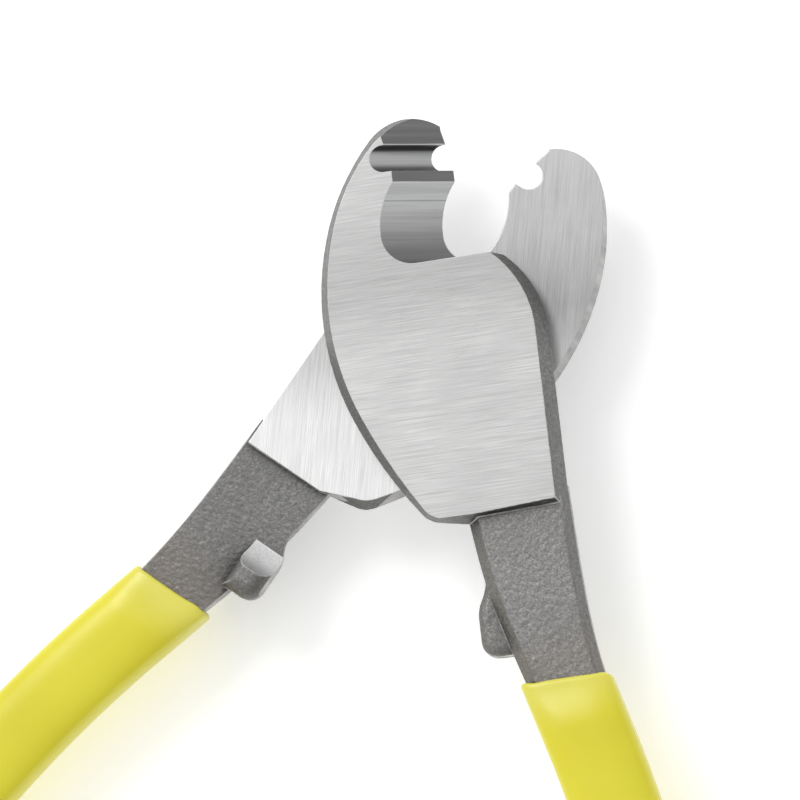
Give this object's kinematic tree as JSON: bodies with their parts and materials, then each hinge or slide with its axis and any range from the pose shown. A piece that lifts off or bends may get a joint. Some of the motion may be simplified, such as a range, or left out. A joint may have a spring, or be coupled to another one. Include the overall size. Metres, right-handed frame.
{
  "type": "hand cable cutter",
  "caption": "Two-lever bypass cable cutter with hooked notched jaws, lapped at a pivot bolt, with yellow dipped grips.",
  "frame": {"origin": "on the pivot axis, at the front lever's ground outer face", "axes": "+Z out of the ground face along the pivot axis, +Y along the tool axis towards the jaws, +X to the front lever's handle side"},
  "size_m": [0.2204, 0.2246, 0.0281],
  "materials": {
    "forged_steel": "drop-forged carbon steel, dark and pitted, with ground faces and milled cutting bevels",
    "yellow_vinyl": "satin-gloss dipped soft vinyl",
    "bolt_steel": "ground flush with the lever's face",
    "plated_steel": "zinc plated"
  },
  "bodies": {
    "rear_half": {"rear_lever": "forged_steel", "rear_grip": "yellow_vinyl"},
    "front_half": {"front_lever": "forged_steel", "front_grip": "yellow_vinyl", "pivot_bolt": "bolt_steel", "flat_washer": "plated_steel", "spring_washer": "plated_steel", "pivot_nut": "plated_steel"}
  },
  "joints": [
    {"name": "pivot", "type": "hinge", "parent": "rear_half", "child": "front_half", "pos_m": [0, 0, 0], "axis": [0, 0, 1], "range_deg": [-42.4, 20]}
  ]
}
